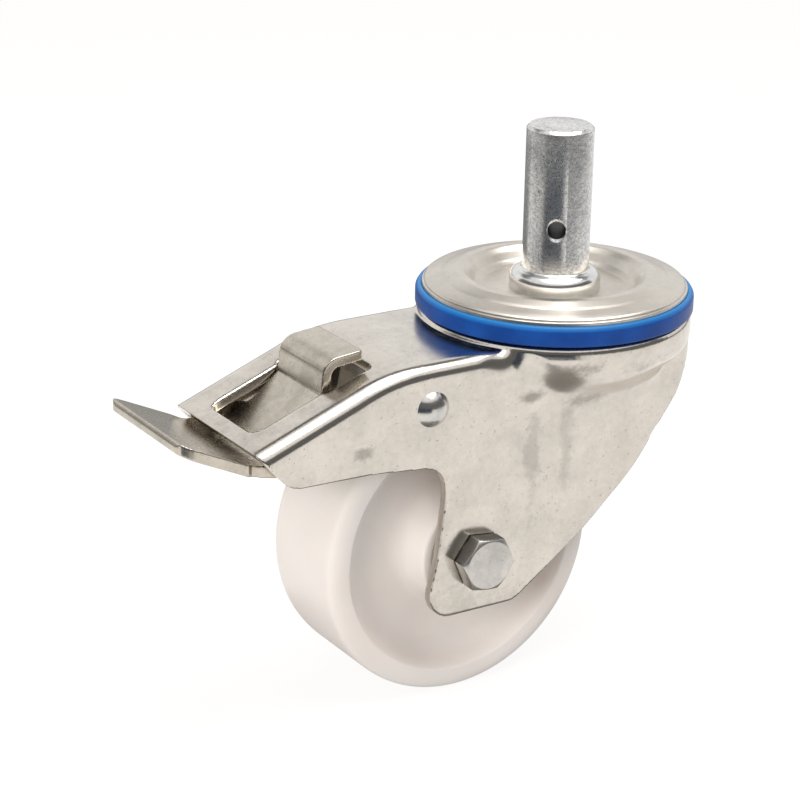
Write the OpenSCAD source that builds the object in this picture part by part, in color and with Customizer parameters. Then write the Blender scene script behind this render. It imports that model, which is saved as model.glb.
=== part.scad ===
// Braked swivel castor with a plain stem.
// The swivel axis is Z, and z = 0 is the shoulder where the stem meets its collar.
// The wheel trails towards -X, and the axle lies along Y.

/* [Stem] */
// Diameter of the plain stem
stem_d = 22; // [20:0.5:24]
// Length of the stem above its shoulder
stem_len = 48; // [40:1:60]
// Chamfer at the top of the stem
stem_chamfer = 1; // [0.5:0.25:2]
// Diameter of the hole across the stem
cross_hole_d = 6; // [4:0.5:8]
// Height of the cross hole above the shoulder
cross_hole_z = 15.5; // [12:0.5:24]
// Direction of the cross hole, from -Y towards -X
cross_hole_turn = 36; // [0:1:90]
// Diameter of the collar under the shoulder
collar_d = 30; // [27:0.5:34]
// Height of the collar
collar_h = 6.2; // [5:0.1:7]
// Diameter of the kingpin through the head
kingpin_d = 18; // [16:0.5:20]
// Diameter of the kingpin's lower end
tail_d = 14; // [12:0.5:15]

/* [Swivel head] */
// Diameter of the pressed cap
cap_d = 87.4; // [86:0.2:90]
// Thickness of the cap's sheet
cap_t = 2.5; // [2:0.1:3]
// Fall of the cap from its bead to its outer rim
rim_fall = 2; // [1.5:0.1:2.5]
// Height of the cap's turned-down edge
rim_h = 3; // [2.5:0.1:3.4]
// Depth of the upper balls' centres below the cap's seat
upper_drop = 3.85; // [3.8:0.05:4.2]
// Ball circle diameter of the upper race
upper_pitch_d = 72; // [70:0.5:73]
// Diameter of the upper balls
upper_ball_d = 7; // [6:0.1:7.2]
// Number of upper balls
upper_ball_n = 28; // [20:1:30]
// Ball circle diameter of the lower race
lower_pitch_d = 38; // [36:0.5:40]
// Diameter of the lower balls
lower_ball_d = 5; // [4.5:0.1:5.5]
// Number of lower balls
lower_ball_n = 20; // [14:1:21]
// Running clearance between a ball and its race
ball_gap = 0.05; // [0.02:0.01:0.08]
// Depth of a ball groove in the fork's crown
groove_depth = 0.9; // [0.7:0.05:1.2]
// Thickness of the lower cup
cup_t = 2.5; // [2:0.1:3]
// Diameter of the toothed lock ring
lock_ring_d = 60; // [58:0.5:62]
// Thickness of the lock ring
lock_ring_t = 2.5; // [2:0.1:3]
// Number of notches in the lock ring
lock_notch_n = 36; // [12:12:36]
// Width of a notch
lock_notch_w = 3; // [2.6:0.1:3.4]
// Depth of a notch
lock_notch_depth = 4; // [3:0.1:4.5]
// Height of the lower cup's turned-up edge
cup_lip_h = 1.6; // [1:0.1:1.8]
// Width across the flats of the kingpin nut
king_nut_af = 22; // [20:0.5:24]
// Height of the kingpin nut
king_nut_h = 7; // [6:0.1:8]
// Length of the kingpin's tail below its nut
tail_out = 1.5; // [1:0.1:2.5]

/* [Seal] */
// Outer diameter of the seal ring
seal_d = 91.6; // [91:0.2:93]
// Height of the seal ring
seal_h = 7.5; // [7:0.1:7.6]
// Gap between the turning fork and the seal
seal_gap = 0.25; // [0.2:0.05:0.6]

/* [Fork] */
// Thickness of the fork's sheet
sheet_t = 3.5; // [3:0.1:4]
// Width of the fork over its cheeks
fork_w = 56.8; // [56:0.2:58]
// Diameter of the fork's round crown
crown_d = 90.4; // [90:0.2:91]
// Depth of the crown's round side
crown_h = 10; // [8:0.5:12]
// Height of the crown above the hood
crown_step = 2; // [1.2:0.1:2.6]
// Reach of the hood behind the swivel axis
hood_reach = 127; // [126:0.5:130]
// Distance from the swivel axis to the start of the hood's slope
hood_flat = 67; // [66:0.5:68]
// Slope of the hood
hood_slope = 21; // [20:0.5:22]
// Radius of the bend between roof and cheek
hood_edge_r = 4.5; // [4:0.25:6]
// Distance of the axle lobe's lower edge from the axle
lobe_low = 18; // [17:0.5:21]
// Distance of the axle lobe's rear edge from the axle
lobe_back = 20.5; // [18:0.5:22]
// Depth of the hood's lower edge below the shoulder
hood_low = 45.8; // [45:0.1:47]
// Half width of the window's rear part
window_half_w = 14.2; // [14:0.1:15]
// Half width of the window beside the hook
window_wide_half_w = 16; // [15.5:0.1:17]
// Rear end of the window, behind the swivel axis
window_rear = 121; // [119:0.5:122]
// Front end of the window, behind the swivel axis
window_front = 79; // [76:0.5:80]

/* [Wheel] */
// Diameter of the wheel
wheel_d = 100; // [98:0.5:100.5]
// Width of the tread
wheel_w = 37; // [35:0.5:37]
// Diameter of the edge of the dish
dish_d = 85; // [80:0.5:88]
// Depth of the dish below the rim
dish_depth = 9; // [6:0.5:11]
// Diameter of the hub
hub_d = 36; // [34:0.5:40]
// Distance of the axle behind the swivel axis
trail = 46; // [45.5:0.1:46.5]
// Depth of the axle below the shoulder
axle_drop = 83.5; // [83:0.1:84]

/* [Axle] */
// Diameter of the axle bolt
axle_d = 10; // [9:0.5:11]
// Width across the flats of the bolt head and the nut
axle_af = 17; // [16:0.5:18]
// Height of the bolt head
axle_head_h = 6.4; // [5.5:0.1:7.5]
// Height of the lock nut
axle_nut_h = 9.5; // [8:0.1:11]
// Outer diameter of the axle sleeve
sleeve_d = 15; // [14:0.5:16]
// Diameter of a roller
roller_d = 4; // [3.5:0.1:4.5]
// Number of rollers
roller_n = 10; // [6:1:11]
// Thickness of the hub washers
hub_washer_t = 1.8; // [1.2:0.1:2.2]
// Thickness of the washer under the nut
washer_t = 1.6; // [1.2:0.1:2]
// Length of the bolt beyond its nut
bolt_out = 2.5; // [1.5:0.1:4]

/* [Brake] */
// Distance of the lever pin behind the swivel axis
pin_back = 65; // [64.8:0.1:65.5]
// Depth of the lever pin below the shoulder
pin_drop = 28.8; // [28.5:0.1:29]
// Diameter of the lever pin
pin_d = 8; // [7:0.1:8.2]
// Diameter of the pin's domed heads
pin_head_d = 11.6; // [10:0.1:13]
// Height of the pin's domed heads
pin_head_h = 3; // [2:0.1:4]
// Thickness of the lever's sheet
lever_t = 3.4; // [3:0.1:3.6]
// Width of the pedal
pedal_w = 50; // [44:0.5:52]
// Reach of the pedal behind the swivel axis
pedal_reach = 151; // [146:0.5:156]
// Width of the hook and its tongue
hook_w = 27; // [24:0.5:27.4]
// Thickness of the spring steel shoe
shoe_t = 2.5; // [2:0.1:2.6]
// Width of the shoe over the wheel
shoe_w = 24; // [20:0.5:30]
// Direction from the axle to the shoe's touching face
shoe_lean = 130; // [128:0.5:132]
// Gap between the released shoe and the tread
brake_gap = 3.1; // [3:0.1:3.6]
// Width of the locking tooth
tooth_w = 2.2; // [1.8:0.1:2.4]
// Height of the locking tooth above its strip
tooth_h = 4.4; // [4:0.1:4.6]
// Radial clearance of a turning fit
fit_gap = 0.05; // [0.03:0.01:0.08]

/* [Hidden] */
$fn = 64;
corner_steps = 6;

// The head, from the collar down
cap_seat_z = -collar_h;
bead_r = upper_ball_d / 2 + ball_gap + cap_t / 2;
upper_z = cap_seat_z - upper_drop;
upper_r = upper_pitch_d / 2;
crown_z = upper_z - upper_ball_d / 2 - ball_gap + groove_depth;
crown_r = crown_d / 2;
under_z = crown_z - sheet_t;
lower_r = lower_pitch_d / 2;
lower_z = under_z + groove_depth - lower_ball_d / 2 - ball_gap;
cup_z = lower_z - lower_ball_d / 2 - ball_gap + groove_depth;
lock_z = cup_z - cup_t;
nut_z = lock_z - lock_ring_t;
tail_end_z = nut_z - king_nut_h - tail_out;
crown_hole_d = kingpin_d + 1;

// The fork
half_w = fork_w / 2;
inner_half_w = half_w - sheet_t;
roof_z = crown_z - crown_step;
hood_bend_r = 60;
hood_depth = 44;
lap = 0.02; // keeps the faces of overlapping runs apart
lap_turn = 5;
front_corner_r = 10;
front_corner_x = sqrt(pow(crown_r - front_corner_r, 2) - pow(half_w - front_corner_r, 2));
front_turn = atan2(half_w - front_corner_r, front_corner_x);
waist_r = half_w - 4;
waist_z = crown_z - crown_h - 18;
leg_top_z = crown_z - 2.5;
leg_low_z = -110;

// The axle and the wheel
axle_x = -trail;
axle_z = -axle_drop;
wheel_r = wheel_d / 2;
hub_play = 0.1;
hub_half = inner_half_w - hub_washer_t - 3 * hub_play;
bore_r = sleeve_d / 2 + roller_d + 2 * fit_gap;
roller_pitch_r = sleeve_d / 2 + roller_d / 2 + fit_gap;
roller_len = 2 * hub_half - 6;
cage_half_t = 1.2;
nut_face = half_w + washer_t;

// The brake
pin_x = -pin_back;
pin_z = -pin_drop;
arm_face = inner_half_w - 1.2;
flange_face = arm_face - lever_t;
ear_face = flange_face - shoe_t;
rivet_x = pin_x - 9.5;
rivet_d = 5;
rivet_head_d = 8;
rivet_head_t = 1;
strip_z = pin_z + 6.9;
tooth_low_z = nut_z - 0.5 - tooth_h;
tooth_out_x = -lock_ring_d / 2 - 0.6;
tooth_in_x = -lock_ring_d / 2 + lock_notch_depth - 1.3;

// Unit vector and normal of a 2D vector
function unit(v) = v / norm(v);
function left_of(v) = [-v[1], v[0]];
function flat(p) = [p[0], p[1]];

// Arc points about centre c, from angle a0 to a1
function arc(c, r, a0, a1, n) =
    [for (k = [0:n]) c + r * [cos(a0 + (a1 - a0) * k / n), sin(a0 + (a1 - a0) * k / n)]];

// Points of a corner b between a and c, rounded to the radius in b[2]
function corner(a, b, c) =
    let (u = unit(flat(a) - flat(b)), v = unit(flat(c) - flat(b)),
        half = acos(max(-1, min(1, u * v))) / 2,
        centre = flat(b) + unit(u + v) * b[2] / sin(half),
        s = flat(b) + u * b[2] / tan(half) - centre,
        e = flat(b) + v * b[2] / tan(half) - centre,
        a0 = atan2(s[1], s[0]),
        turn = atan2(s[0] * e[1] - s[1] * e[0], s * e))
    arc(centre, b[2], a0, a0 + turn, corner_steps);

// Closed outline from points [x, y, radius]
function rounded(p) =
    [for (i = [0:len(p) - 1])
        let (a = p[(i + len(p) - 1) % len(p)], b = p[i], c = p[(i + 1) % len(p)])
        each (b[2] > 0 ? corner(a, b, c) : [flat(b)])];

// Open path from points [x, y, radius], its two ends kept
function rounded_path(p) =
    [for (i = [0:len(p) - 1])
        each (i > 0 && i < len(p) - 1 && p[i][2] > 0 ? corner(p[i - 1], p[i], p[i + 1]) : [flat(p[i])])];

// The path moved sideways by d, its radii kept concentric
function moved_path(p, d) =
    [for (i = [0:len(p) - 1])
        let (before = i > 0 ? unit(flat(p[i]) - flat(p[i - 1])) : unit(flat(p[1]) - flat(p[0])),
            after = i < len(p) - 1 ? unit(flat(p[i + 1]) - flat(p[i])) : before,
            n1 = left_of(before), n2 = left_of(after),
            bend = before[0] * after[1] - before[1] * after[0],
            q = flat(p[i]) + (n1 + n2) * d / (1 + n1 * n2))
        [q[0], q[1], max(0, p[i][2] - sign(bend) * d)]];

// Outline of a bent sheet of thickness t along a path
function sheet(p, t) =
    let (one = rounded_path(moved_path(p, t / 2)), two = rounded_path(moved_path(p, -t / 2)))
    concat(one, [for (i = [len(two) - 1:-1:0]) two[i]]);

// A solid of the outline in X and Z, with a width w across Y
module across(w) {
    rotate([90, 0, 0]) linear_extrude(w, center = true) children();
}

// A cylinder along Y at x and z, from y0 to y1
module rod(x, z, d, y0, y1) {
    translate([x, y1, z]) rotate([90, 0, 0]) cylinder(d = d, h = y1 - y0);
}

// The children and their mirror image on the other side of the wheel
module both_sides() {
    children();
    mirror([0, 1, 0]) children();
}

// A hexagon of width af across its flats, height h, with chamfered corners at its top
module hexagon(af, h) {
    intersection() {
        cylinder(d = af / cos(30), h = h, $fn = 6);
        rotate_extrude()
            polygon([[0, 0], [af / cos(30) / 2 + 1, 0], [af / cos(30) / 2 + 1, h - 1.6],
                [af / 2 * 0.96, h], [0, h]]);
    }
}

// A ring of n balls of diameter d on a circle of radius r at height z
module balls(d, r, z, n) {
    for (i = [0:n - 1])
        rotate([0, 0, 360 * i / n]) translate([r, 0, z]) sphere(d = d, $fn = 24);
}

// A round groove for balls of radius br on a circle of radius r at height z
module race(r, z, br) {
    rotate_extrude() translate([r, z]) circle(r = br, $fn = 48);
}

module stem() {
    r = stem_d / 2;
    c = stem_chamfer;
    kr = kingpin_d / 2;
    tr = tail_d / 2;
    color("gainsboro") difference() {
        rotate_extrude()
            polygon(concat([[0, tail_end_z], [tr - 1, tail_end_z], [tr, tail_end_z + 1],
                [tr, cup_z], [kr, cup_z], [kr, cap_seat_z], [collar_d / 2, cap_seat_z]],
                arc([collar_d / 2 - 3, -3], 3, 0, 90, corner_steps),
                [[r, 0], [r, stem_len - c], [r - c, stem_len], [0, stem_len]]));
        rotate([0, 0, -cross_hole_turn]) translate([0, 0, cross_hole_z]) rotate([90, 0, 0]) {
            cylinder(d = cross_hole_d, h = stem_d + 2, center = true);
            for (s = [-1, 1])
                translate([0, 0, s * (r + 0.2)]) rotate([0, s > 0 ? 180 : 0, 0])
                    cylinder(d1 = cross_hole_d + 2, d2 = cross_hole_d - 0.4, h = 1.2);
        }
    }
}

module top_cap() {
    mid = cap_seat_z - cap_t / 2;
    lift = upper_z + bead_r;
    rim_r = cap_d / 2 - cap_t / 2;
    color("silver") difference() {
        rotate_extrude()
            polygon(sheet([[kingpin_d / 2, mid, 0], [upper_r - bead_r - 1.2, mid, 3],
                [upper_r - bead_r * 0.75, lift, bead_r * 0.8],
                [upper_r + bead_r * 0.75, lift, bead_r * 0.6], [rim_r, lift - rim_fall, 1.8],
                [rim_r, mid - rim_h, 0]], cap_t));
        race(upper_r, upper_z, upper_ball_d / 2 + ball_gap);
    }
}

module seal_ring() {
    in = cap_d / 2;
    out = seal_d / 2;
    low = crown_z + seal_gap;
    top = low + seal_h;
    edge = 0.8;
    color("royalblue") rotate_extrude()
        polygon(rounded([[in, low, 0], [out - edge / 2, low, 0.3], [out, low + edge, 0.4],
            [out, top - 2 * edge, 1.2], [out - edge, top, edge], [in, top - edge, 0]]));
}

module upper_balls() {
    color("lightsteelblue") balls(upper_ball_d, upper_r, upper_z, upper_ball_n);
}

module lower_balls() {
    color("lightsteelblue") balls(lower_ball_d, lower_r, lower_z, lower_ball_n);
}

module lower_cup() {
    out = lower_r + lower_ball_d / 2 + 3.6;
    color("silver") difference() {
        rotate_extrude()
            polygon(sheet([[tail_d / 2, cup_z - cup_t / 2, 0], [out, cup_z - cup_t / 2, 1.6],
                [out, cup_z + cup_lip_h, 0]], cup_t));
        race(lower_r, lower_z, lower_ball_d / 2 + ball_gap);
    }
}

module lock_ring() {
    r = lock_ring_d / 2;
    color("darkgray") translate([0, 0, nut_z]) difference() {
        cylinder(r = r, h = lock_ring_t);
        translate([0, 0, -1]) cylinder(d = tail_d, h = lock_ring_t + 2);
        for (i = [0:lock_notch_n - 1])
            rotate([0, 0, 360 * i / lock_notch_n])
                translate([-r - 1, -lock_notch_w / 2, -1])
                    cube([lock_notch_depth + 1, lock_notch_w, lock_ring_t + 2]);
    }
}

module kingpin_nut() {
    color("darkgray") translate([0, 0, nut_z - king_nut_h]) difference() {
        translate([0, 0, king_nut_h]) mirror([0, 0, 1]) hexagon(king_nut_af, king_nut_h);
        translate([0, 0, -1]) cylinder(d = tail_d, h = king_nut_h + 2);
    }
}

// Half section of the crown, drawn in by t
function crown_outline(t) =
    rounded_path(moved_path([[0, crown_z, 0], [crown_r, crown_z, 2.5],
        [crown_r, crown_z - crown_h, 9], [waist_r, waist_z, 0], [0, waist_z, 0]], -t));

// Plan of the legs' front part and the front wall, drawn in by t
function plan_outline(t) =
    let (c = [front_corner_x, half_w - front_corner_r])
    concat([[-crown_r / 2, -half_w + t]],
        arc([c[0], -c[1]], front_corner_r - t, -90, -front_turn, corner_steps),
        arc([0, 0], crown_r - t, -front_turn, front_turn, 24),
        arc(c, front_corner_r - t, front_turn, 90, corner_steps),
        [[-crown_r / 2, half_w - t]]);

// Section of the hood of depth h, its roof at the right, drawn in by t and k laps
function hood_outline(t, h, k) =
    let (w = half_w - t - k * lap, top = -t - k * lap, r = hood_edge_r - t + 5 * k * lap)
    rounded([[-h, -w, 0], [top, -w, r], [top, w, r], [-h, w, 0]]);

// A straight run of the hood towards -X, its roof at z = 0, drawn in by t and k laps
module trough(length, h, t, k) {
    translate([-length, 0, 0]) rotate([0, 90, 0]) linear_extrude(length)
        rotate([0, 0, 180]) polygon(hood_outline(t, h, k));
}

// Solid under the hood's roof, drawn in by t: a level run, a bend and a sloped run
module hood_body(t) {
    translate([0, 0, roof_z]) trough(hood_flat, -leg_low_z, t, 0);
    translate([-hood_flat, 0, roof_z - hood_bend_r]) {
        rotate([90, 0, 0]) rotate([0, 0, 90 - lap_turn])
            rotate_extrude(angle = hood_slope + 2 * lap_turn, $fn = 240)
                translate([hood_bend_r, 0]) polygon(hood_outline(t, hood_depth, 1));
        rotate([0, -hood_slope, 0]) translate([0, 0, hood_bend_r])
            trough(hood_bend_r, hood_depth, t, 2);
    }
}

// Solid of the whole pressing, drawn in by t
module fork_body(t) {
    rotate_extrude() polygon(crown_outline(t));
    hood_body(t);
    translate([0, 0, leg_low_z - 2 * t]) linear_extrude(leg_top_z + t - leg_low_z)
        polygon(plan_outline(t + lap));
}

// Side view of the fork: hood, cheek, axle lobe and front edge
function side_outline() =
    let (top = crown_r + 5, bottom = axle_z - lobe_low, back = axle_x - lobe_back)
    rounded([[top, 0, 0], [top, crown_z - 9, 0], [38.5, crown_z - 12.5, 7],
        [31.5, -40, 14], [14.5, -64, 60], [-4.6, -81.5, 60], [axle_x + 14, bottom, 9],
        [back, bottom, 8], [back + 4.7, axle_z + 3, 20], [-59.3, -60, 30],
        [-59.6, -hood_low - 3.4, 9], [-86, -hood_low - 0.7, 60], [-115.5, -hood_low, 9],
        [-hood_reach + 5, -39, 4], [-hood_reach, -33, 0.5], [-hood_reach, 0, 0]]);

// Plan of the window in the roof
function window_outline() =
    let (w = window_half_w, wide = window_wide_half_w, step = window_front + 16.5)
    rounded([[-window_rear, -w, 4], [-step - 1, -w, 0.7], [-step, -wide, 0.7],
        [-window_front, -wide, 3], [-window_front, wide, 3], [-step, wide, 0.7],
        [-step - 1, w, 0.7], [-window_rear, w, 4]]);

module fork() {
    color("gainsboro") difference() {
        intersection() {
            difference() {
                fork_body(0);
                fork_body(sheet_t);
            }
            across(crown_d + 2) polygon(side_outline());
        }
        translate([0, 0, leg_low_z]) linear_extrude(-leg_low_z) polygon(window_outline());
        translate([0, 0, under_z - 5]) cylinder(d = crown_hole_d, h = sheet_t + 10);
        race(upper_r, upper_z, upper_ball_d / 2 + ball_gap);
        race(lower_r, lower_z, lower_ball_d / 2 + ball_gap);
        rod(axle_x, axle_z, axle_d + 2 * fit_gap, -half_w - 1, half_w + 1);
        rod(pin_x, pin_z, pin_d, -half_w - 1, half_w + 1);
    }
}

module axle_bolt() {
    y_end = nut_face + axle_nut_h + bolt_out;
    color("lightsteelblue") {
        translate([axle_x, -half_w, axle_z]) rotate([90, 0, 0]) hexagon(axle_af, axle_head_h);
        rod(axle_x, axle_z, axle_d, -half_w, y_end - 1);
        translate([axle_x, y_end - 1, axle_z]) rotate([-90, 0, 0])
            cylinder(d1 = axle_d, d2 = axle_d - 2, h = 1);
    }
}

module axle_washer() {
    color("silver") difference() {
        rod(axle_x, axle_z, axle_d * 2, half_w, nut_face);
        rod(axle_x, axle_z, axle_d + 2 * fit_gap, half_w - 1, nut_face + 1);
    }
}

module axle_nut() {
    collar = 2.5;
    color("lightsteelblue") translate([axle_x, nut_face, axle_z]) rotate([-90, 0, 0]) difference() {
        union() {
            hexagon(axle_af, axle_nut_h - collar);
            cylinder(d = axle_af - 1.6, h = axle_nut_h);
        }
        translate([0, 0, -1]) cylinder(d = axle_d, h = axle_nut_h + 2);
    }
}

module axle_sleeve() {
    color("darkgray") difference() {
        rod(axle_x, axle_z, sleeve_d, -inner_half_w, inner_half_w);
        rod(axle_x, axle_z, axle_d + 2 * fit_gap, -inner_half_w - 1, inner_half_w + 1);
    }
}

// Half section of the wheel: radius, then distance from its middle
function wheel_outline() =
    let (e = wheel_w / 2, web = e - dish_depth, dish = dish_d / 2, hub = hub_d / 2)
    rounded([[bore_r, hub_half, 0], [hub, hub_half, 2], [hub + 1.5, web, 7], [dish - 4, web, 8],
        [dish, e, 2.5], [wheel_r - 0.2, e, 2], [wheel_r, 0, 0],
        [wheel_r - 0.2, -e, 2], [dish, -e, 2.5], [dish - 4, -web, 8], [hub + 1.5, -web, 7],
        [hub, -hub_half, 2], [bore_r, -hub_half, 0]]);

module wheel() {
    color("white") translate([axle_x, 0, axle_z]) rotate([90, 0, 0])
        rotate_extrude($fn = 120) polygon(wheel_outline());
}

module roller_cage() {
    h = roller_len + 3;
    color("ivory") translate([axle_x, 0, axle_z]) rotate([90, 0, 0]) difference() {
        cylinder(r = roller_pitch_r + cage_half_t, h = h, center = true);
        cylinder(r = roller_pitch_r - cage_half_t, h = h + 2, center = true);
        for (i = [0:roller_n - 1])
            rotate([0, 0, 360 * i / roller_n]) translate([roller_pitch_r, 0, 0])
                cube([4 * cage_half_t, roller_d + 0.2, roller_len + 0.3], center = true);
    }
}

module rollers() {
    color("lightsteelblue") translate([axle_x, 0, axle_z]) rotate([90, 0, 0])
        for (i = [0:roller_n - 1])
            rotate([0, 0, 360 * i / roller_n]) translate([roller_pitch_r, 0, 0])
                cylinder(d = roller_d, h = roller_len, center = true, $fn = 24);
}

module hub_washers() {
    y0 = hub_half + hub_play;
    color("silver") both_sides() difference() {
        rod(axle_x, axle_z, hub_d - 6, y0, y0 + hub_washer_t);
        rod(axle_x, axle_z, sleeve_d + 2 * fit_gap, y0 - 1, y0 + hub_washer_t + 1);
    }
}

module lever_pin() {
    h = pin_head_h;
    dome_r = (pow(pin_head_d / 2, 2) + pow(h, 2)) / (2 * h);
    color("lightsteelblue") {
        rod(pin_x, pin_z, pin_d, -half_w, half_w);
        both_sides() translate([pin_x, half_w, pin_z]) rotate([-90, 0, 0])
            rotate_extrude() intersection() {
                translate([0, h - dome_r]) circle(r = dome_r);
                square([pin_head_d, h]);
            }
    }
}

// Side view of the lever's sheet: hook, riser, tongue and pedal
function lever_path() =
    [[-81.8, -12.5, 0], [-94.2, -13.7, 4.2], [-95.4, -24.2, 2.6],
        [-112, -38.2, 9], [-124, -40.2, 14], [-pedal_reach, -27.6, 0]];

// Plan of the lever's sheet: pedal, neck, tongue and hook
function lever_plan() =
    let (p = pedal_w / 2, n = arm_face, h = hook_w / 2, b = pedal_reach)
    rounded([[-b, -p, 5], [-128.5, -p, 2], [-127, -n, 1], [-110, -n, 3], [-107, -h, 2],
        [-81.8, -h, 1.2], [-81.8, h, 1.2], [-107, h, 2], [-110, n, 3], [-127, n, 1],
        [-128.5, p, 2], [-b, p, 5]]);

// Side view of one of the lever's two arms
function arm_outline() =
    rounded([[pin_x + 5, pin_z + 7.2, 5], [pin_x - 8, pin_z + 7.2, 8], [-112, -36.2, 12],
        [-124.5, -38.6, 0], [-124.5, -41.4, 0], [-113, -44, 8], [pin_x - 12, pin_z - 8, 12],
        [pin_x + 1, pin_z - 6.2, 4], [pin_x + 6.5, pin_z - 4, 4]]);

module brake_lever() {
    color("gainsboro") difference() {
        union() {
            intersection() {
                across(pedal_w + 2) polygon(sheet(lever_path(), lever_t));
                translate([0, 0, leg_low_z]) linear_extrude(-leg_low_z) polygon(lever_plan());
            }
            both_sides() translate([0, arm_face - lever_t / 2, 0])
                across(lever_t) polygon(arm_outline());
        }
        rod(pin_x, pin_z, pin_d + 2 * fit_gap, -half_w, half_w);
        rod(rivet_x, pin_z, rivet_d, -half_w, half_w);
    }
}

// Side view of the shoe's strip, from the locking tooth to the wheel
function shoe_path() =
    let (out = [cos(shoe_lean), sin(shoe_lean)], up = [sin(shoe_lean), -cos(shoe_lean)],
        touch = [axle_x, axle_z] + (wheel_r + brake_gap + shoe_t / 2) * out,
        top = touch + 7 * up, end = touch - 5 * up)
    [[tooth_in_x, tooth_low_z - shoe_t / 2, 0], [-41, tooth_low_z + shoe_t / 2, 8],
        [pin_x + 8, strip_z, 6], [pin_x - 7.5, strip_z, 5], [top[0], top[1], 6], [end[0], end[1], 0]];

// Side view of one of the shoe's two ears
function ear_outline() =
    rounded([[pin_x + 7, strip_z, 0], [pin_x - 10, strip_z, 0], [pin_x - 14.5, pin_z - 1, 4],
        [pin_x - 10, pin_z - 5, 3], [pin_x + 3, pin_z - 5.6, 4]]);

module brake_shoe() {
    color("silver") difference() {
        union() {
            across(shoe_w) polygon(sheet(shoe_path(), shoe_t));
            translate([pin_x - 5, -flange_face, strip_z - shoe_t / 2])
                cube([12, 2 * flange_face, shoe_t]);
            both_sides() translate([0, flange_face - shoe_t / 2, 0])
                across(shoe_t) polygon(ear_outline());
            translate([tooth_out_x, -tooth_w / 2, tooth_low_z - 1])
                cube([tooth_in_x - tooth_out_x, tooth_w, tooth_h + 1]);
        }
        rod(pin_x, pin_z, pin_d + 2 * fit_gap, -half_w, half_w);
        both_sides() rod(rivet_x, pin_z, rivet_d, ear_face - 1, half_w);
    }
}

module shoe_rivets() {
    y0 = ear_face - rivet_head_t;
    y1 = arm_face + rivet_head_t;
    color("lightsteelblue") both_sides() {
        rod(rivet_x, pin_z, rivet_d, y0, y1);
        rod(rivet_x, pin_z, rivet_head_d, y0, ear_face);
        rod(rivet_x, pin_z, rivet_head_d, arm_face, y1);
    }
}

stem();
top_cap();
seal_ring();
upper_balls();
lower_balls();
lower_cup();
lock_ring();
kingpin_nut();
fork();
axle_bolt();
axle_washer();
axle_nut();
axle_sleeve();
lever_pin();
wheel();
roller_cage();
rollers();
hub_washers();
brake_lever();
brake_shoe();
shoe_rivets();
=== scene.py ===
from math import cos, pi, radians, sin, sqrt, tan

import bmesh
import bpy
from mathutils import Matrix, Vector


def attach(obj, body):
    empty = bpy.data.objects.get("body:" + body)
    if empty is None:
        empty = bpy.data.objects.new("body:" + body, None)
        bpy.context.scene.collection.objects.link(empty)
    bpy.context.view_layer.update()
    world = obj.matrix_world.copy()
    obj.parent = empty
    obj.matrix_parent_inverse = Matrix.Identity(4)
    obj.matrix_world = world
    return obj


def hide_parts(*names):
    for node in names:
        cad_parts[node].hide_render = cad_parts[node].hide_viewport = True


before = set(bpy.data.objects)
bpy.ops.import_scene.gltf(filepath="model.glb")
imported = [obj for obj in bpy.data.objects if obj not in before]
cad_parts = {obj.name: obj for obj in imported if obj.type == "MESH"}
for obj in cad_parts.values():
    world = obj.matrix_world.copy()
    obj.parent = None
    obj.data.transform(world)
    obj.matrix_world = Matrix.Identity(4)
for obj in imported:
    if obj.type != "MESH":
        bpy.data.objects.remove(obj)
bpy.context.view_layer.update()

MM = 0.001
scene = bpy.context.scene

# The view
# The camera stands where the photograph was taken, about 0.85 m away in front of the bolt head,
# with a long lens, and looks down on the cap by 20 degrees.
camera_place = Vector((-480.0, -660.6, 256.5)) * MM
turned_by, looks_down, tilt = radians(-32.49), radians(20.47), radians(1.12)
frame_px, focal_px, sensor = 800, 2600, 36
back = Vector((sin(turned_by) * cos(looks_down), -cos(turned_by) * cos(looks_down), sin(looks_down)))
side = Vector((cos(turned_by), sin(turned_by), 0))
rise = back.cross(side)
right = cos(tilt) * side + sin(tilt) * rise
up = -sin(tilt) * side + cos(tilt) * rise
eye = bpy.data.objects.new("camera", bpy.data.cameras.new("camera"))
eye.data.sensor_width = sensor
eye.data.lens = focal_px / frame_px * sensor
eye.data.clip_end = 20
eye.matrix_world = Matrix.Translation(camera_place) @ Matrix((right, up, back)).transposed().to_4x4()
scene.collection.objects.link(eye)
scene.camera = eye
scene.view_settings.view_transform = "Standard"

# The light
# A white studio with a large soft lamp overhead and a weaker one to the left. Grey walls and flags,
# which only reflections see, give the bends of the metal something dark to mirror.


def feed(tree, socket, value):
    """Sets the socket to value, which may be another node's output."""
    if isinstance(value, bpy.types.NodeSocket):
        tree.links.new(value, socket)
    else:
        socket.default_value = value


def node(tree, kind, **values):
    """A shader node. Each value is named for its socket, with _ for a space, or s and its number."""
    made = tree.nodes.new("ShaderNode" + kind)
    for name, value in values.items():
        if name[1:].isdigit():
            feed(tree, made.inputs[int(name[1:])], value)
        else:
            feed(tree, made.inputs[name.replace("_", " ")], value)
    return made


def calc(tree, operation, a, b=0.0):
    """The output of one sum on a and b."""
    made = node(tree, "Math", s0=a, s1=b)
    made.operation = operation
    return made.outputs[0]


def emptied(owner):
    """The node tree of a material or world, with nothing in it."""
    owner.use_nodes = True
    owner.node_tree.nodes.clear()
    return owner.node_tree


def shown(tree):
    """1 for what the camera sees itself or mirrored in metal, and 0 for light that falls on things."""
    ray = node(tree, "LightPath").outputs
    shiny = calc(tree, "MAXIMUM", ray["Is Glossy Ray"], ray["Is Transmission Ray"])
    return calc(tree, "MAXIMUM", ray["Is Camera Ray"], shiny)


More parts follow.
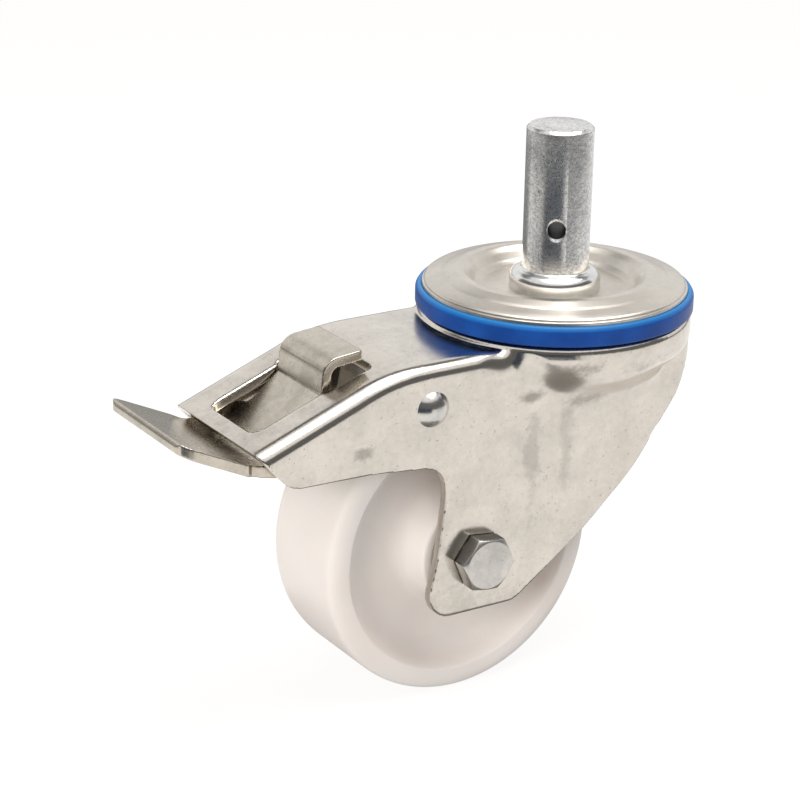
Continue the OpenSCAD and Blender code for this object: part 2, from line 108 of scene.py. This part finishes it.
def lamp(name, place, aim, size, watts, colour, mirrored):
    """A square soft lamp at place, pointed at aim. Metal mirrors it only where mirrored is true."""
    made = bpy.data.objects.new(name, bpy.data.lights.new(name, "AREA"))
    made.data.size, made.data.energy, made.data.color = size, watts, colour
    turn = (Vector(place) - Vector(aim)).to_track_quat("Z", "Y")
    made.matrix_world = Matrix.Translation(place) @ turn.to_matrix().to_4x4()
    made.visible_glossy = mirrored
    scene.collection.objects.link(made)


def staged(name, made, cloth):
    """The bmesh as a part of the studio, in that material."""
    mesh = bpy.data.meshes.new(name)
    made.to_mesh(mesh)
    made.free()
    mesh.materials.append(cloth)
    obj = bpy.data.objects.new(name, mesh)
    scene.collection.objects.link(obj)
    return obj


def screen(name, made, colour):
    """The bmesh as a dark screen that only shows in reflections."""
    cloth = bpy.data.materials.new(name)
    tree = emptied(cloth)
    node(tree, "OutputMaterial", Surface=node(tree, "Emission", Color=colour + (1,)).outputs[0])
    obj = staged(name, made, cloth)
    obj.visible_camera = obj.visible_diffuse = obj.visible_shadow = obj.visible_transmission = False


def arc(radius, start, end, low, high):
    """An upright sheet round the stem, sizes in metres, between two bearings in degrees from the camera's."""
    made = bmesh.new()
    bearings = [turned_by + radians(start + (end - start) * t / 16) for t in range(17)]
    foot = [made.verts.new((radius * sin(b), -radius * cos(b), low)) for b in bearings]
    edges = [made.edges.new(p) for p in zip(foot, foot[1:])]
    grown = bmesh.ops.extrude_edge_only(made, edges=edges)["geom"]
    top = [g for g in grown if isinstance(g, bmesh.types.BMVert)]
    bmesh.ops.translate(made, vec=(0, 0, high - low), verts=top)
    return made


world = bpy.data.worlds.new("studio")
scene.world = world
tree = emptied(world)
white = node(tree, "Background", Color=(1, 1, 1, 1), Strength=1.0).outputs[0]
room = node(tree, "Background", Color=(1.0, 0.97, 0.94, 1), Strength=0.55).outputs[0]
either = node(tree, "MixShader", s0=shown(tree), s1=room, s2=white)
node(tree, "OutputWorld", Surface=either.outputs[0])

lamp("overhead", (0.1, -0.12, 0.9), (-0.04, 0, -0.04), 0.8, 9.5, (1, 0.98, 0.96), True)
lamp("beside", (-1.15, -0.5, 0.3), (-0.04, 0, -0.05), 0.6, 8.0, (1, 0.96, 0.92), False)

# The walls stand far off, and the flags and the disc on the floor stand close by
walls_away, flags_away, foot = 1.6, 0.34, -0.13
screen("near_wall", arc(walls_away, -105, 105, foot, 1.1), (0.15, 0.15, 0.15))
screen("far_wall", arc(walls_away, 105, 255, foot, 0.12), (0.26, 0.25, 0.24))
screen("far_valance", arc(walls_away, 105, 255, 1.3, 2.3), (0.14, 0.14, 0.14))
screen("stem_flag", arc(flags_away, -50, 18, foot, -0.01), (0.05, 0.065, 0.09))
screen("rear_flag", arc(flags_away, -180, -115, foot, -0.01), (0.30, 0.30, 0.30))

axle_x, floor_z = -46, -133.6
made = bmesh.new()
bmesh.ops.create_circle(made, cap_ends=True, segments=48, radius=0.075)
bmesh.ops.translate(made, vec=(axle_x * MM, 0, (floor_z + 0.2) * MM), verts=made.verts)
screen("shade_below", made, (0.27, 0.26, 0.245))

paper = bpy.data.materials.new("paper")
tree = emptied(paper)
matt = node(tree, "BsdfDiffuse", Color=(0.16, 0.155, 0.15, 1)).outputs[0]
strength = calc(tree, "ADD", calc(tree, "MULTIPLY", shown(tree), 0.45), 0.42)
glow = node(tree, "Emission", Color=(1, 1, 1, 1), Strength=strength).outputs[0]
node(tree, "OutputMaterial", Surface=node(tree, "AddShader", s0=matt, s1=glow).outputs[0])
made = bmesh.new()
bmesh.ops.create_grid(made, x_segments=1, y_segments=1, size=4)
bmesh.ops.translate(made, vec=(0, 0, floor_z * MM), verts=made.verts)
staged("floor", made, paper)

# Stem
# One turned steel piece: a plain stem drilled across, the collar under it and the kingpin through
# the head. It is bright zinc plated, speckled on the stem and smooth on the collar, and the bore is
# painted nearly black as painted shade inside the hole.


def spun(outline, steps=144, closed=False):
    """A turned form from (radius, height) points in millimetres, about the Z axis."""
    made = bmesh.new()
    ring = [made.verts.new((r * MM, 0, z * MM)) for r, z in outline]
    ends = ring[1:] + ring[:1] if closed else ring[1:]
    edges = [made.edges.new(p) for p in zip(ring, ends)]
    bmesh.ops.spin(made, geom=ring + edges, cent=(0, 0, 0), axis=(0, 0, 1), angle=2 * pi, steps=steps,
                   use_merge=True)
    bmesh.ops.remove_doubles(made, verts=made.verts, dist=1e-7)
    bmesh.ops.recalc_face_normals(made, faces=made.faces)
    return made


def soften(made, width, segments=3, where=lambda r, z: True, angle=25):
    """Rounds the edges sharper than angle whose middle, as (radius, height) in millimetres, passes where."""
    picked = []
    for e in made.edges:
        middle = (e.verts[0].co + e.verts[1].co) / 2 / MM
        sharp = len(e.link_faces) == 2 and e.calc_face_angle() > radians(angle)
        if sharp and where(middle.xy.length, middle.z):
            picked.append(e)
    bmesh.ops.bevel(made, geom=picked, offset=width * MM, segments=segments, profile=0.5, affect="EDGES",
                    material=-1, clamp_overlap=True)


def piece(name, made, body, stands_for, finish, place=Matrix(), crease=32):
    """The bmesh as a finished object on that body, in place of that CAD node."""
    bmesh.ops.transform(made, matrix=place, verts=made.verts)
    mesh = bpy.data.meshes.new(name)
    made.to_mesh(mesh)
    made.free()
    mesh.shade_smooth()
    mesh.set_sharp_from_angle(angle=radians(crease))
    mesh.materials.append(finish)
    obj = bpy.data.objects.new(name, mesh)
    scene.collection.objects.link(obj)
    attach(obj, body)
    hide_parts(stands_for)
    return obj


def settled(obj):
    """Applies obj's modifiers to its mesh."""
    bpy.context.view_layer.update()
    shaped = obj.evaluated_get(bpy.context.evaluated_depsgraph_get())
    result = bpy.data.meshes.new_from_object(shaped)
    obj.modifiers.clear()
    obj.data = result


def cut(obj, tool):
    """Takes the tool's form out of obj."""
    cutter = bpy.data.objects.new("tool", bpy.data.meshes.new("tool"))
    tool.to_mesh(cutter.data)
    tool.free()
    scene.collection.objects.link(cutter)
    change = obj.modifiers.new("cut", "BOOLEAN")
    change.object, change.solver = cutter, "EXACT"
    settled(obj)
    bpy.data.objects.remove(cutter)


def patterned(name):
    """A new material, its tree, its shader, and the Object coordinates that its patterns read."""
    made = bpy.data.materials.new(name)
    made.use_nodes = True
    tree = made.node_tree
    return made, tree, tree.nodes["Principled BSDF"], node(tree, "TexCoord").outputs["Object"]


def noise(tree, spot, scale, detail, **values):
    """The output of a noise pattern with that many features to the metre."""
    return node(tree, "TexNoise", Vector=spot, Scale=scale, Detail=detail, **values).outputs["Fac"]


def ranged(tree, value, **ends):
    """The value brought from one range to another, and held at its ends."""
    return node(tree, "MapRange", Value=value, **ends).outputs[0]


def vector_calc(tree, operation, a, b=(0, 0, 0)):
    """The node of one sum on the vectors a and b."""
    made = node(tree, "VectorMath", s0=a, s1=b)
    made.operation = operation
    return made


def blended(tree, share, first, second, way="MIX"):
    """The colour first, with that share of second laid over it."""
    made = node(tree, "Mix", s0=share)
    made.data_type, made.blend_type = "RGBA", way
    feed(tree, made.inputs[6], first)
    feed(tree, made.inputs[7], second)
    return made.outputs[2]


def zinc(name, bright, dull, rough, specks=0.5, wave=0.0, grain_scale=420.0, fine=0.4, grit=0.025, marks_and_shade=()):
    """Zinc plate, clouded between bright and a rougher dull tint. fine is the grain's share of the
    clouding, and specks the strength of the dark pits. wave and grit are the height of the swells and
    of the grain in millimetres. marks_and_shade holds soft dark patches, painted shade among them:
    each has its middle and its reach along X, Y and Z in millimetres, and its strength."""
    made, tree, shader, spot = patterned(name)
    cloud = noise(tree, spot, 70.0, 5.0, Roughness=0.6, Distortion=0.4)
    grain = noise(tree, spot, grain_scale, 6.0, Roughness=0.7)
    both = calc(tree, "ADD", calc(tree, "MULTIPLY", cloud, 1 - fine), calc(tree, "MULTIPLY", grain, fine))
    tint = blended(tree, ranged(tree, both, From_Min=0.38, From_Max=0.62), dull + (1,), bright + (1,))
    dots = noise(tree, spot, 900.0, 2.0, Roughness=0.5)
    pits_and_shade = ranged(tree, dots, From_Min=0.66, From_Max=0.74, To_Max=specks)
    fray = calc(tree, "MULTIPLY", calc(tree, "SUBTRACT", both, 0.5), 3.0)
    # The patches of marks_and_shade are laid over the pits, painted shade among them.
    for middle, reach, strength in marks_and_shade:
        away = vector_calc(tree, "SUBTRACT", spot, Vector(middle) * MM).outputs[0]
        share = vector_calc(tree, "DIVIDE", away, Vector(reach) * MM).outputs[0]
        far = vector_calc(tree, "LENGTH", share).outputs[1]
        dark_patch = ranged(tree, calc(tree, "ADD", far, fray), From_Min=1.0, From_Max=0.3, To_Max=strength)
        pits_and_shade = calc(tree, "MAXIMUM", pits_and_shade, dark_patch)
    feed(tree, shader.inputs["Base Color"], blended(tree, pits_and_shade, tint, (0.30, 0.29, 0.28, 1), "MULTIPLY"))
    gloss = ranged(tree, both, From_Min=0.3, From_Max=0.7, To_Min=rough + 0.09, To_Max=rough - 0.05)
    feed(tree, shader.inputs["Roughness"], gloss)
    shader.inputs["Metallic"].default_value = 1.0
    swell = noise(tree, spot, 38.0, 2.0)
    height = calc(tree, "ADD", calc(tree, "MULTIPLY", swell, wave), calc(tree, "MULTIPLY", grain, grit))
    bump = node(tree, "Bump", Strength=1.0, Distance=0.001, Height=height)
    feed(tree, shader.inputs["Normal"], bump.outputs[0])
    return made


stem_zinc = zinc("stem_zinc", (0.85, 0.83, 0.79), (0.40, 0.41, 0.425), 0.23, specks=0.8, grain_scale=950.0,
                 fine=0.65, grit=0.042)
# Painted shade: the bore's wall is coloured nearly black, as the shade inside the hole.
bore_painted_shade = zinc("bore_painted_shade", (0.05, 0.045, 0.04), (0.03, 0.03, 0.03), 0.5)
collar_zinc = zinc("collar_zinc", (0.76, 0.755, 0.74), (0.62, 0.62, 0.61), 0.19, specks=0.15, grit=0.01)
made = spun([(0, -33), (6, -33), (7, -32), (7, -19.5), (9, -19.5), (9, -6.2), (15, -6.2), (15, 0), (11.5, 0),
             (11, 0.5), (11, 47), (10, 48), (0, 48)])
soften(made, 3.4, 7, lambda r, z: r > 14.9 and z > -1)
soften(made, 0.25, 2)
stem = piece("stem_turned", made, "head", "stem", stem_zinc)

hole_r, hole_z, hole_turn = 3.0, 15.5, radians(-36)
drill = spun([(0, -14), (5, -14), (5, -11.7), (hole_r, -10.4), (hole_r, 10.4), (5, 11.7), (5, 14), (0, 14)],
             steps=64)
across = Matrix.Rotation(hole_turn, 4, "Z") @ Matrix.Rotation(pi / 2, 4, "X")
bmesh.ops.transform(drill, verts=drill.verts, matrix=Matrix.Translation((0, 0, hole_z * MM)) @ across)
cut(stem, drill)
stem.data.materials.append(bore_painted_shade)
stem.data.materials.append(collar_zinc)
hole_line = Vector((sin(hole_turn), -cos(hole_turn), 0))
# The bore's wall takes the painted shade, and the collar's faces take the smoother zinc.
for face in stem.data.polygons:
    reach = face.center - Vector((0, 0, hole_z * MM))
    if (reach - reach.dot(hole_line) * hole_line).length < (hole_r + 0.05) * MM:
        face.material_index = 1
    elif face.center.z < 0.3 * MM and face.center.xy.length > 11.2 * MM:
        face.material_index = 2

# Cap
# A pressed steel disc clamped under the collar. Its raised bead is the upper ball race, and its
# edge is turned down inside the seal. Fine lines from the press run round it near the rim.
cap_zinc = zinc("cap_zinc", (0.68, 0.635, 0.575), (0.58, 0.545, 0.49), 0.33, specks=0.25, wave=0.01)
recess = [(9, -6.2), (24.0, -6.2)]
bead = [(26.4, -5.0), (28.2, -2.4), (30.2, -0.95), (33.0, -0.95), (36.4, -2.0)]
rim = [(37.6, -2.5), (40.6, -3.2), (42.5, -3.75), (43.1, -4.25), (42.95, -4.7), (43.5, -4.8), (43.7, -5.0),
       (43.7, -10.4)]
underside = [(41.2, -10.4), (41.2, -8.3), (38.9, -6.5), (33.1, -6.5), (30.2, -8.7), (9, -8.7)]
made = spun(recess + bead + rim + underside, closed=True)
soften(made, 1.1, 5, lambda r, z: z > -6.3 and 20 < r < 36, angle=2)
soften(made, 0.2, 3, lambda r, z: z > -6.3 and r > 36, angle=2)
piece("cap_pressed", made, "head", "top_cap", cap_zinc)

# Seal
# A blue plastic ring snapped over the cap's turned-down edge. It closes the gap above the fork,
# and its soft upper edge is painted paler, as a painted highlight along the top.


def two_tone(tree, share, low, first, high, second):
    """The colour that goes from first to second as share goes from low to high."""
    made = node(tree, "ValToRGB", Fac=share)
    for stop, place, tint in zip(made.color_ramp.elements, (low, high), (first, second)):
        stop.position, stop.color = place, tint + (1,)
    return made.outputs[0]


seal_blue, tree, shader, spot = patterned("seal_blue")
patch = noise(tree, spot, 90.0, 3.0)
tint = two_tone(tree, patch, 0.35, (0.003, 0.05, 0.26), 0.68, (0.005, 0.075, 0.36))
height = node(tree, "SeparateXYZ", Vector=spot).outputs[2]
# Painted highlight: the top of the ring is mixed towards a paler blue, by height.
painted_top_highlight = ranged(tree, height, From_Min=-7.3 * MM, From_Max=-5.8 * MM)
feed(tree, shader.inputs["Base Color"], blended(tree, painted_top_highlight, tint, (0.012, 0.17, 0.44, 1)))
feed(tree, shader.inputs["Roughness"], ranged(tree, patch, To_Min=0.34, To_Max=0.46))
shader.inputs["Specular IOR Level"].default_value = 0.25
skin = node(tree, "Bump", Strength=0.25, Distance=0.0002, Height=noise(tree, spot, 1500.0, 2.0))
feed(tree, shader.inputs["Normal"], skin.outputs[0])
made = spun([(43.75, -12.4), (45.3, -12.4), (45.8, -11.9), (45.8, -7.2), (45.0, -6.0), (43.75, -5.8)],
            closed=True)
soften(made, 0.45, 4)
piece("seal_moulded", made, "head", "seal_ring", seal_blue)

# Ball races and kingpin nut
# Hardened balls run above and below the fork's crown. The lower cup and the notched lock ring are
# pressed steel, and the nut holds them on the kingpin. All of them keep their exact CAD form.


def dress(finish, *names):
    """Gives that finish to CAD nodes that stay as they are."""
    for name in names:
        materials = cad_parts[name].data.materials
        materials.clear()
        materials.append(finish)


ball_steel = zinc("ball_steel", (0.62, 0.62, 0.63), (0.50, 0.50, 0.52), 0.16, specks=0.1)
inner_zinc = zinc("inner_zinc", (0.64, 0.62, 0.58), (0.47, 0.46, 0.44), 0.34, specks=0.5)
dress(ball_steel, "upper_balls", "lower_balls")
dress(inner_zinc, "lower_cup", "lock_ring", "kingpin_nut")

# Fork
# One pressing of zinc-plated sheet: a round crown, a hood with a window that slopes to the rear,
# and two cheeks that narrow to the axle. Every edge is slightly rounded by the press.


def pressed(name, cad, body, finish, blend=None):
    """The CAD sheet part with its edges rounded as a press leaves them. Its mesh is remade evenly and
    eased, much more where blend is above 0, and thinned."""
    made = bmesh.new()
    made.from_mesh(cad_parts[cad].data)
    bmesh.ops.remove_doubles(made, verts=made.verts, dist=1e-6)
    mesh = bpy.data.meshes.new(name)
    made.to_mesh(mesh)
    made.free()
    obj = bpy.data.objects.new(name, mesh)
    scene.collection.objects.link(obj)
    skin = obj.modifiers.new("skin", "REMESH")
    skin.mode, skin.octree_depth, skin.scale = "SHARP", 8, 0.95
    skin.use_remove_disconnected = False
    settled(obj)
    ease = obj.modifiers.new("ease", "SMOOTH")
    ease.factor, ease.iterations = 0.5, 4
    if blend:
        group = obj.vertex_groups.new(name="blend")
        for v in obj.data.vertices:
            group.add([v.index], blend(v.co / MM), "REPLACE")
        flow = obj.modifiers.new("flow", "SMOOTH")
        flow.factor, flow.iterations, flow.vertex_group = 0.5, 900, "blend"
    thin = obj.modifiers.new("thin", "DECIMATE")
    thin.ratio = 0.7
    settled(obj)
    made = bmesh.new()
    made.from_mesh(obj.data)
    bpy.data.objects.remove(obj)
    piece(name, made, body, cad, finish, crease=180)


def step(low, high, value):
    """Rises smoothly from 0 to 1 as value goes from low to high."""
    t = min(1, max(0, (value - low) / (high - low)))
    return t * t * (3 - 2 * t)


def crown_flow(p):
    """Where the round crown flows into the flat cheeks: below the rim, from a little higher up beside
    the hood, and outside the wheel's room."""
    lift = 3 * step(-26, -32, p.x)
    band = step(lift - 17.5, lift - 21, p.z) * step(-56, -42, p.z)
    return band * step(17, 24, abs(p.y)) * step(-48, -32, p.x) * step(25, 14, p.x)


# Soft dark patches on the fork, most of them painted shade and painted reflections.
fork_marks_and_shade = (
    # Painted reflection of the shaded floor under the seal: dark patches where the crown turns in below the
    # ring
    ((-28, -29, -31), (5.5, 9, 3.6), 0.62), ((-8, -30, -34), (8, 9, 3.4), 0.5),
    ((-17, -37, -20.5), (10, 9, 3.5), 0.55), ((4, -38, -22), (13, 8, 3), 0.45),
    # Two painted reflections as dark streaks down the near cheek, a thumb mark on the hood's side and a
    # darker patch at the lower end
    ((-26.5, -28, -50), (3.4, 6, 22), 0.28), ((-13.5, -28, -52), (3.0, 6, 22), 0.22),
    ((-90, -28, -38.5), (4, 4, 2.6), 0.5), ((-50, -28, -98), (16, 6, 7), 0.16))
fork_zinc = zinc("fork_zinc", (0.70, 0.65, 0.585), (0.58, 0.54, 0.485), 0.17, specks=0.4, wave=0.05,
                 marks_and_shade=fork_marks_and_shade)
pressed("fork_pressed", "fork", "fork", fork_zinc, crown_flow)

# Brake
# One stamped sheet lever: the hook that stands up through the window, the tongue under it, the wide
# pedal and an arm on each side of the wheel. The spring-steel shoe is riveted between the arms.
lever_zinc = zinc("lever_zinc", (0.61, 0.555, 0.47), (0.47, 0.43, 0.37), 0.24, specks=0.4, wave=0.04)
pressed("lever_stamped", "brake_lever", "lever", lever_zinc)
dress(inner_zinc, "brake_shoe", "shoe_rivets")

# Lever pin
# A plated rivet pin through both cheeks. Its heads are peened into low domes.
pin_x, pin_z, cheek_face = -65, -28.8, 28.4
dome_r, dome_turn, dome_middle = 7.108, radians(54.7), 24.29
pin_zinc = zinc("pin_zinc", (0.72, 0.70, 0.66), (0.52, 0.50, 0.48), 0.20, specks=0.3, wave=0.05)
dome = [(dome_r * sin(t * dome_turn / 8), dome_middle + dome_r * cos(t * dome_turn / 8)) for t in range(1, 9)]
half = [(0, 31.4)] + dome + [(5.8, cheek_face), (4, cheek_face)]
made = spun(half + [(r, -z) for r, z in reversed(half)], steps=64)
pin_place = Matrix.Translation((pin_x * MM, 0, pin_z * MM)) @ Matrix.Rotation(pi / 2, 4, "X")
piece("lever_pin_peened", made, "fork", "lever_pin", pin_zinc, pin_place)

# Axle
# A hexagon bolt through the cheeks and a ground sleeve, with a washer and a self-locking nut at the
# far side. The corners of head and nut are turned to a 30 degree chamfer, and no grade mark is on them.


def hexagon(flats, low, high):
    """A hexagon between two heights in millimetres, with its corners chamfered at the high end."""
    face_r = flats * 0.475
    made = bmesh.new()
    bmesh.ops.create_circle(made, cap_ends=False, segments=6, radius=flats / sqrt(3) * MM)
    bmesh.ops.subdivide_edges(made, edges=made.edges, cuts=9)
    bmesh.ops.translate(made, vec=(0, 0, low * MM), verts=made.verts)
    foot = list(made.edges)
    grown = bmesh.ops.extrude_edge_only(made, edges=foot)["geom"]
    for v in (g for g in grown if isinstance(g, bmesh.types.BMVert)):
        v.co.z = (high - max(0, v.co.xy.length / MM - face_r) * tan(radians(30))) * MM
    top = [g for g in grown if isinstance(g, bmesh.types.BMEdge)]
    inner = bmesh.ops.extrude_edge_only(made, edges=top)["geom"]
    for v in (g for g in inner if isinstance(g, bmesh.types.BMVert)):
        v.co = Vector((*(v.co.xy.normalized() * face_r), high)) * MM
    bmesh.ops.holes_fill(made, edges=[g for g in inner if isinstance(g, bmesh.types.BMEdge)])
    bmesh.ops.holes_fill(made, edges=foot)
    bmesh.ops.recalc_face_normals(made, faces=made.faces)
    return made


def joined(made, other):
    """Adds the other bmesh to made."""
    mesh = bpy.data.meshes.new("joined")
    other.to_mesh(mesh)
    other.free()
    made.from_mesh(mesh)
    bpy.data.meshes.remove(mesh)


axle_z, flats = -83.5, 17
bolt_zinc = zinc("bolt_zinc", (0.68, 0.65, 0.60), (0.50, 0.485, 0.46), 0.31, specks=0.5)
axle_place = Matrix.Translation((axle_x * MM, 0, axle_z * MM)) @ Matrix.Rotation(pi / 2, 4, "X")
made = hexagon(flats, 28.9, 34.8)
soften(made, 0.22, 2)
joined(made, spun([(0, 29.0), (7.9, 29.0), (7.9, cheek_face), (5, cheek_face), (5, -41.4), (4, -42.4),
                   (0, -42.4)], steps=64))
piece("axle_bolt_hex", made, "fork", "axle_bolt", bolt_zinc,
      axle_place @ Matrix.Rotation(radians(23), 4, "Z"))
made = spun([(5.05, -cheek_face), (10, -cheek_face), (10, -30), (5.05, -30)], steps=64, closed=True)
soften(made, 0.2, 2)
piece("axle_washer_flat", made, "fork", "axle_washer", bolt_zinc, axle_place)
made = hexagon(flats, 30, 37)
joined(made, spun([(5, 36.9), (7.7, 36.9), (7.7, 39.5), (5, 39.5)], steps=64, closed=True))
soften(made, 0.25, 2)
piece("axle_nut_locking", made, "fork", "axle_nut", bolt_zinc,
      axle_place @ Matrix.Rotation(pi, 4, "X"))
dress(ball_steel, "axle_sleeve")

# Wheel
# Solid white nylon, moulded in one piece with a dished web on each side. Light sinks a little into
# it. Steel rollers in a pale moulded cage turn in its hub, with a steel washer at each end.
nylon, tree, shader, spot = patterned("nylon")
tint = two_tone(tree, noise(tree, spot, 22.0, 3.0), 0.3, (0.86, 0.80, 0.76), 0.7, (0.92, 0.88, 0.85))
feed(tree, shader.inputs["Base Color"], tint)
skin = noise(tree, spot, 700.0, 3.0)
feed(tree, shader.inputs["Roughness"], ranged(tree, skin, To_Min=0.36, To_Max=0.5))
feed(tree, shader.inputs["Normal"], node(tree, "Bump", Strength=0.2, Distance=0.0003, Height=skin).outputs[0])
shader.inputs["Subsurface Weight"].default_value = 0.35
shader.inputs["Subsurface Radius"].default_value = (1.0, 0.75, 0.6)
shader.inputs["Subsurface Scale"].default_value = 0.006
half = [(11.6, 22.8), (18, 22.8), (19.5, 9.5), (38.5, 9.5), (42.5, 18.5), (46.4, 18.5), (48.6, 17.95),
        (49.7, 16.8), (50, 15.2)]
made = spun(half + [(r, -z) for r, z in reversed(half)], steps=192, closed=True)
soften(made, 5.0, 6, lambda r, z: 19 < r < 39)
soften(made, 0.9, 3, lambda r, z: r > 45, angle=4)
soften(made, 0.6, 3, lambda r, z: 42 < r < 43)
soften(made, 1.0, 3, lambda r, z: r < 19)
piece("wheel_moulded", made, "wheel", "wheel", nylon, axle_place)
dress(nylon, "roller_cage")
dress(ball_steel, "rollers")
dress(inner_zinc, "hub_washers")
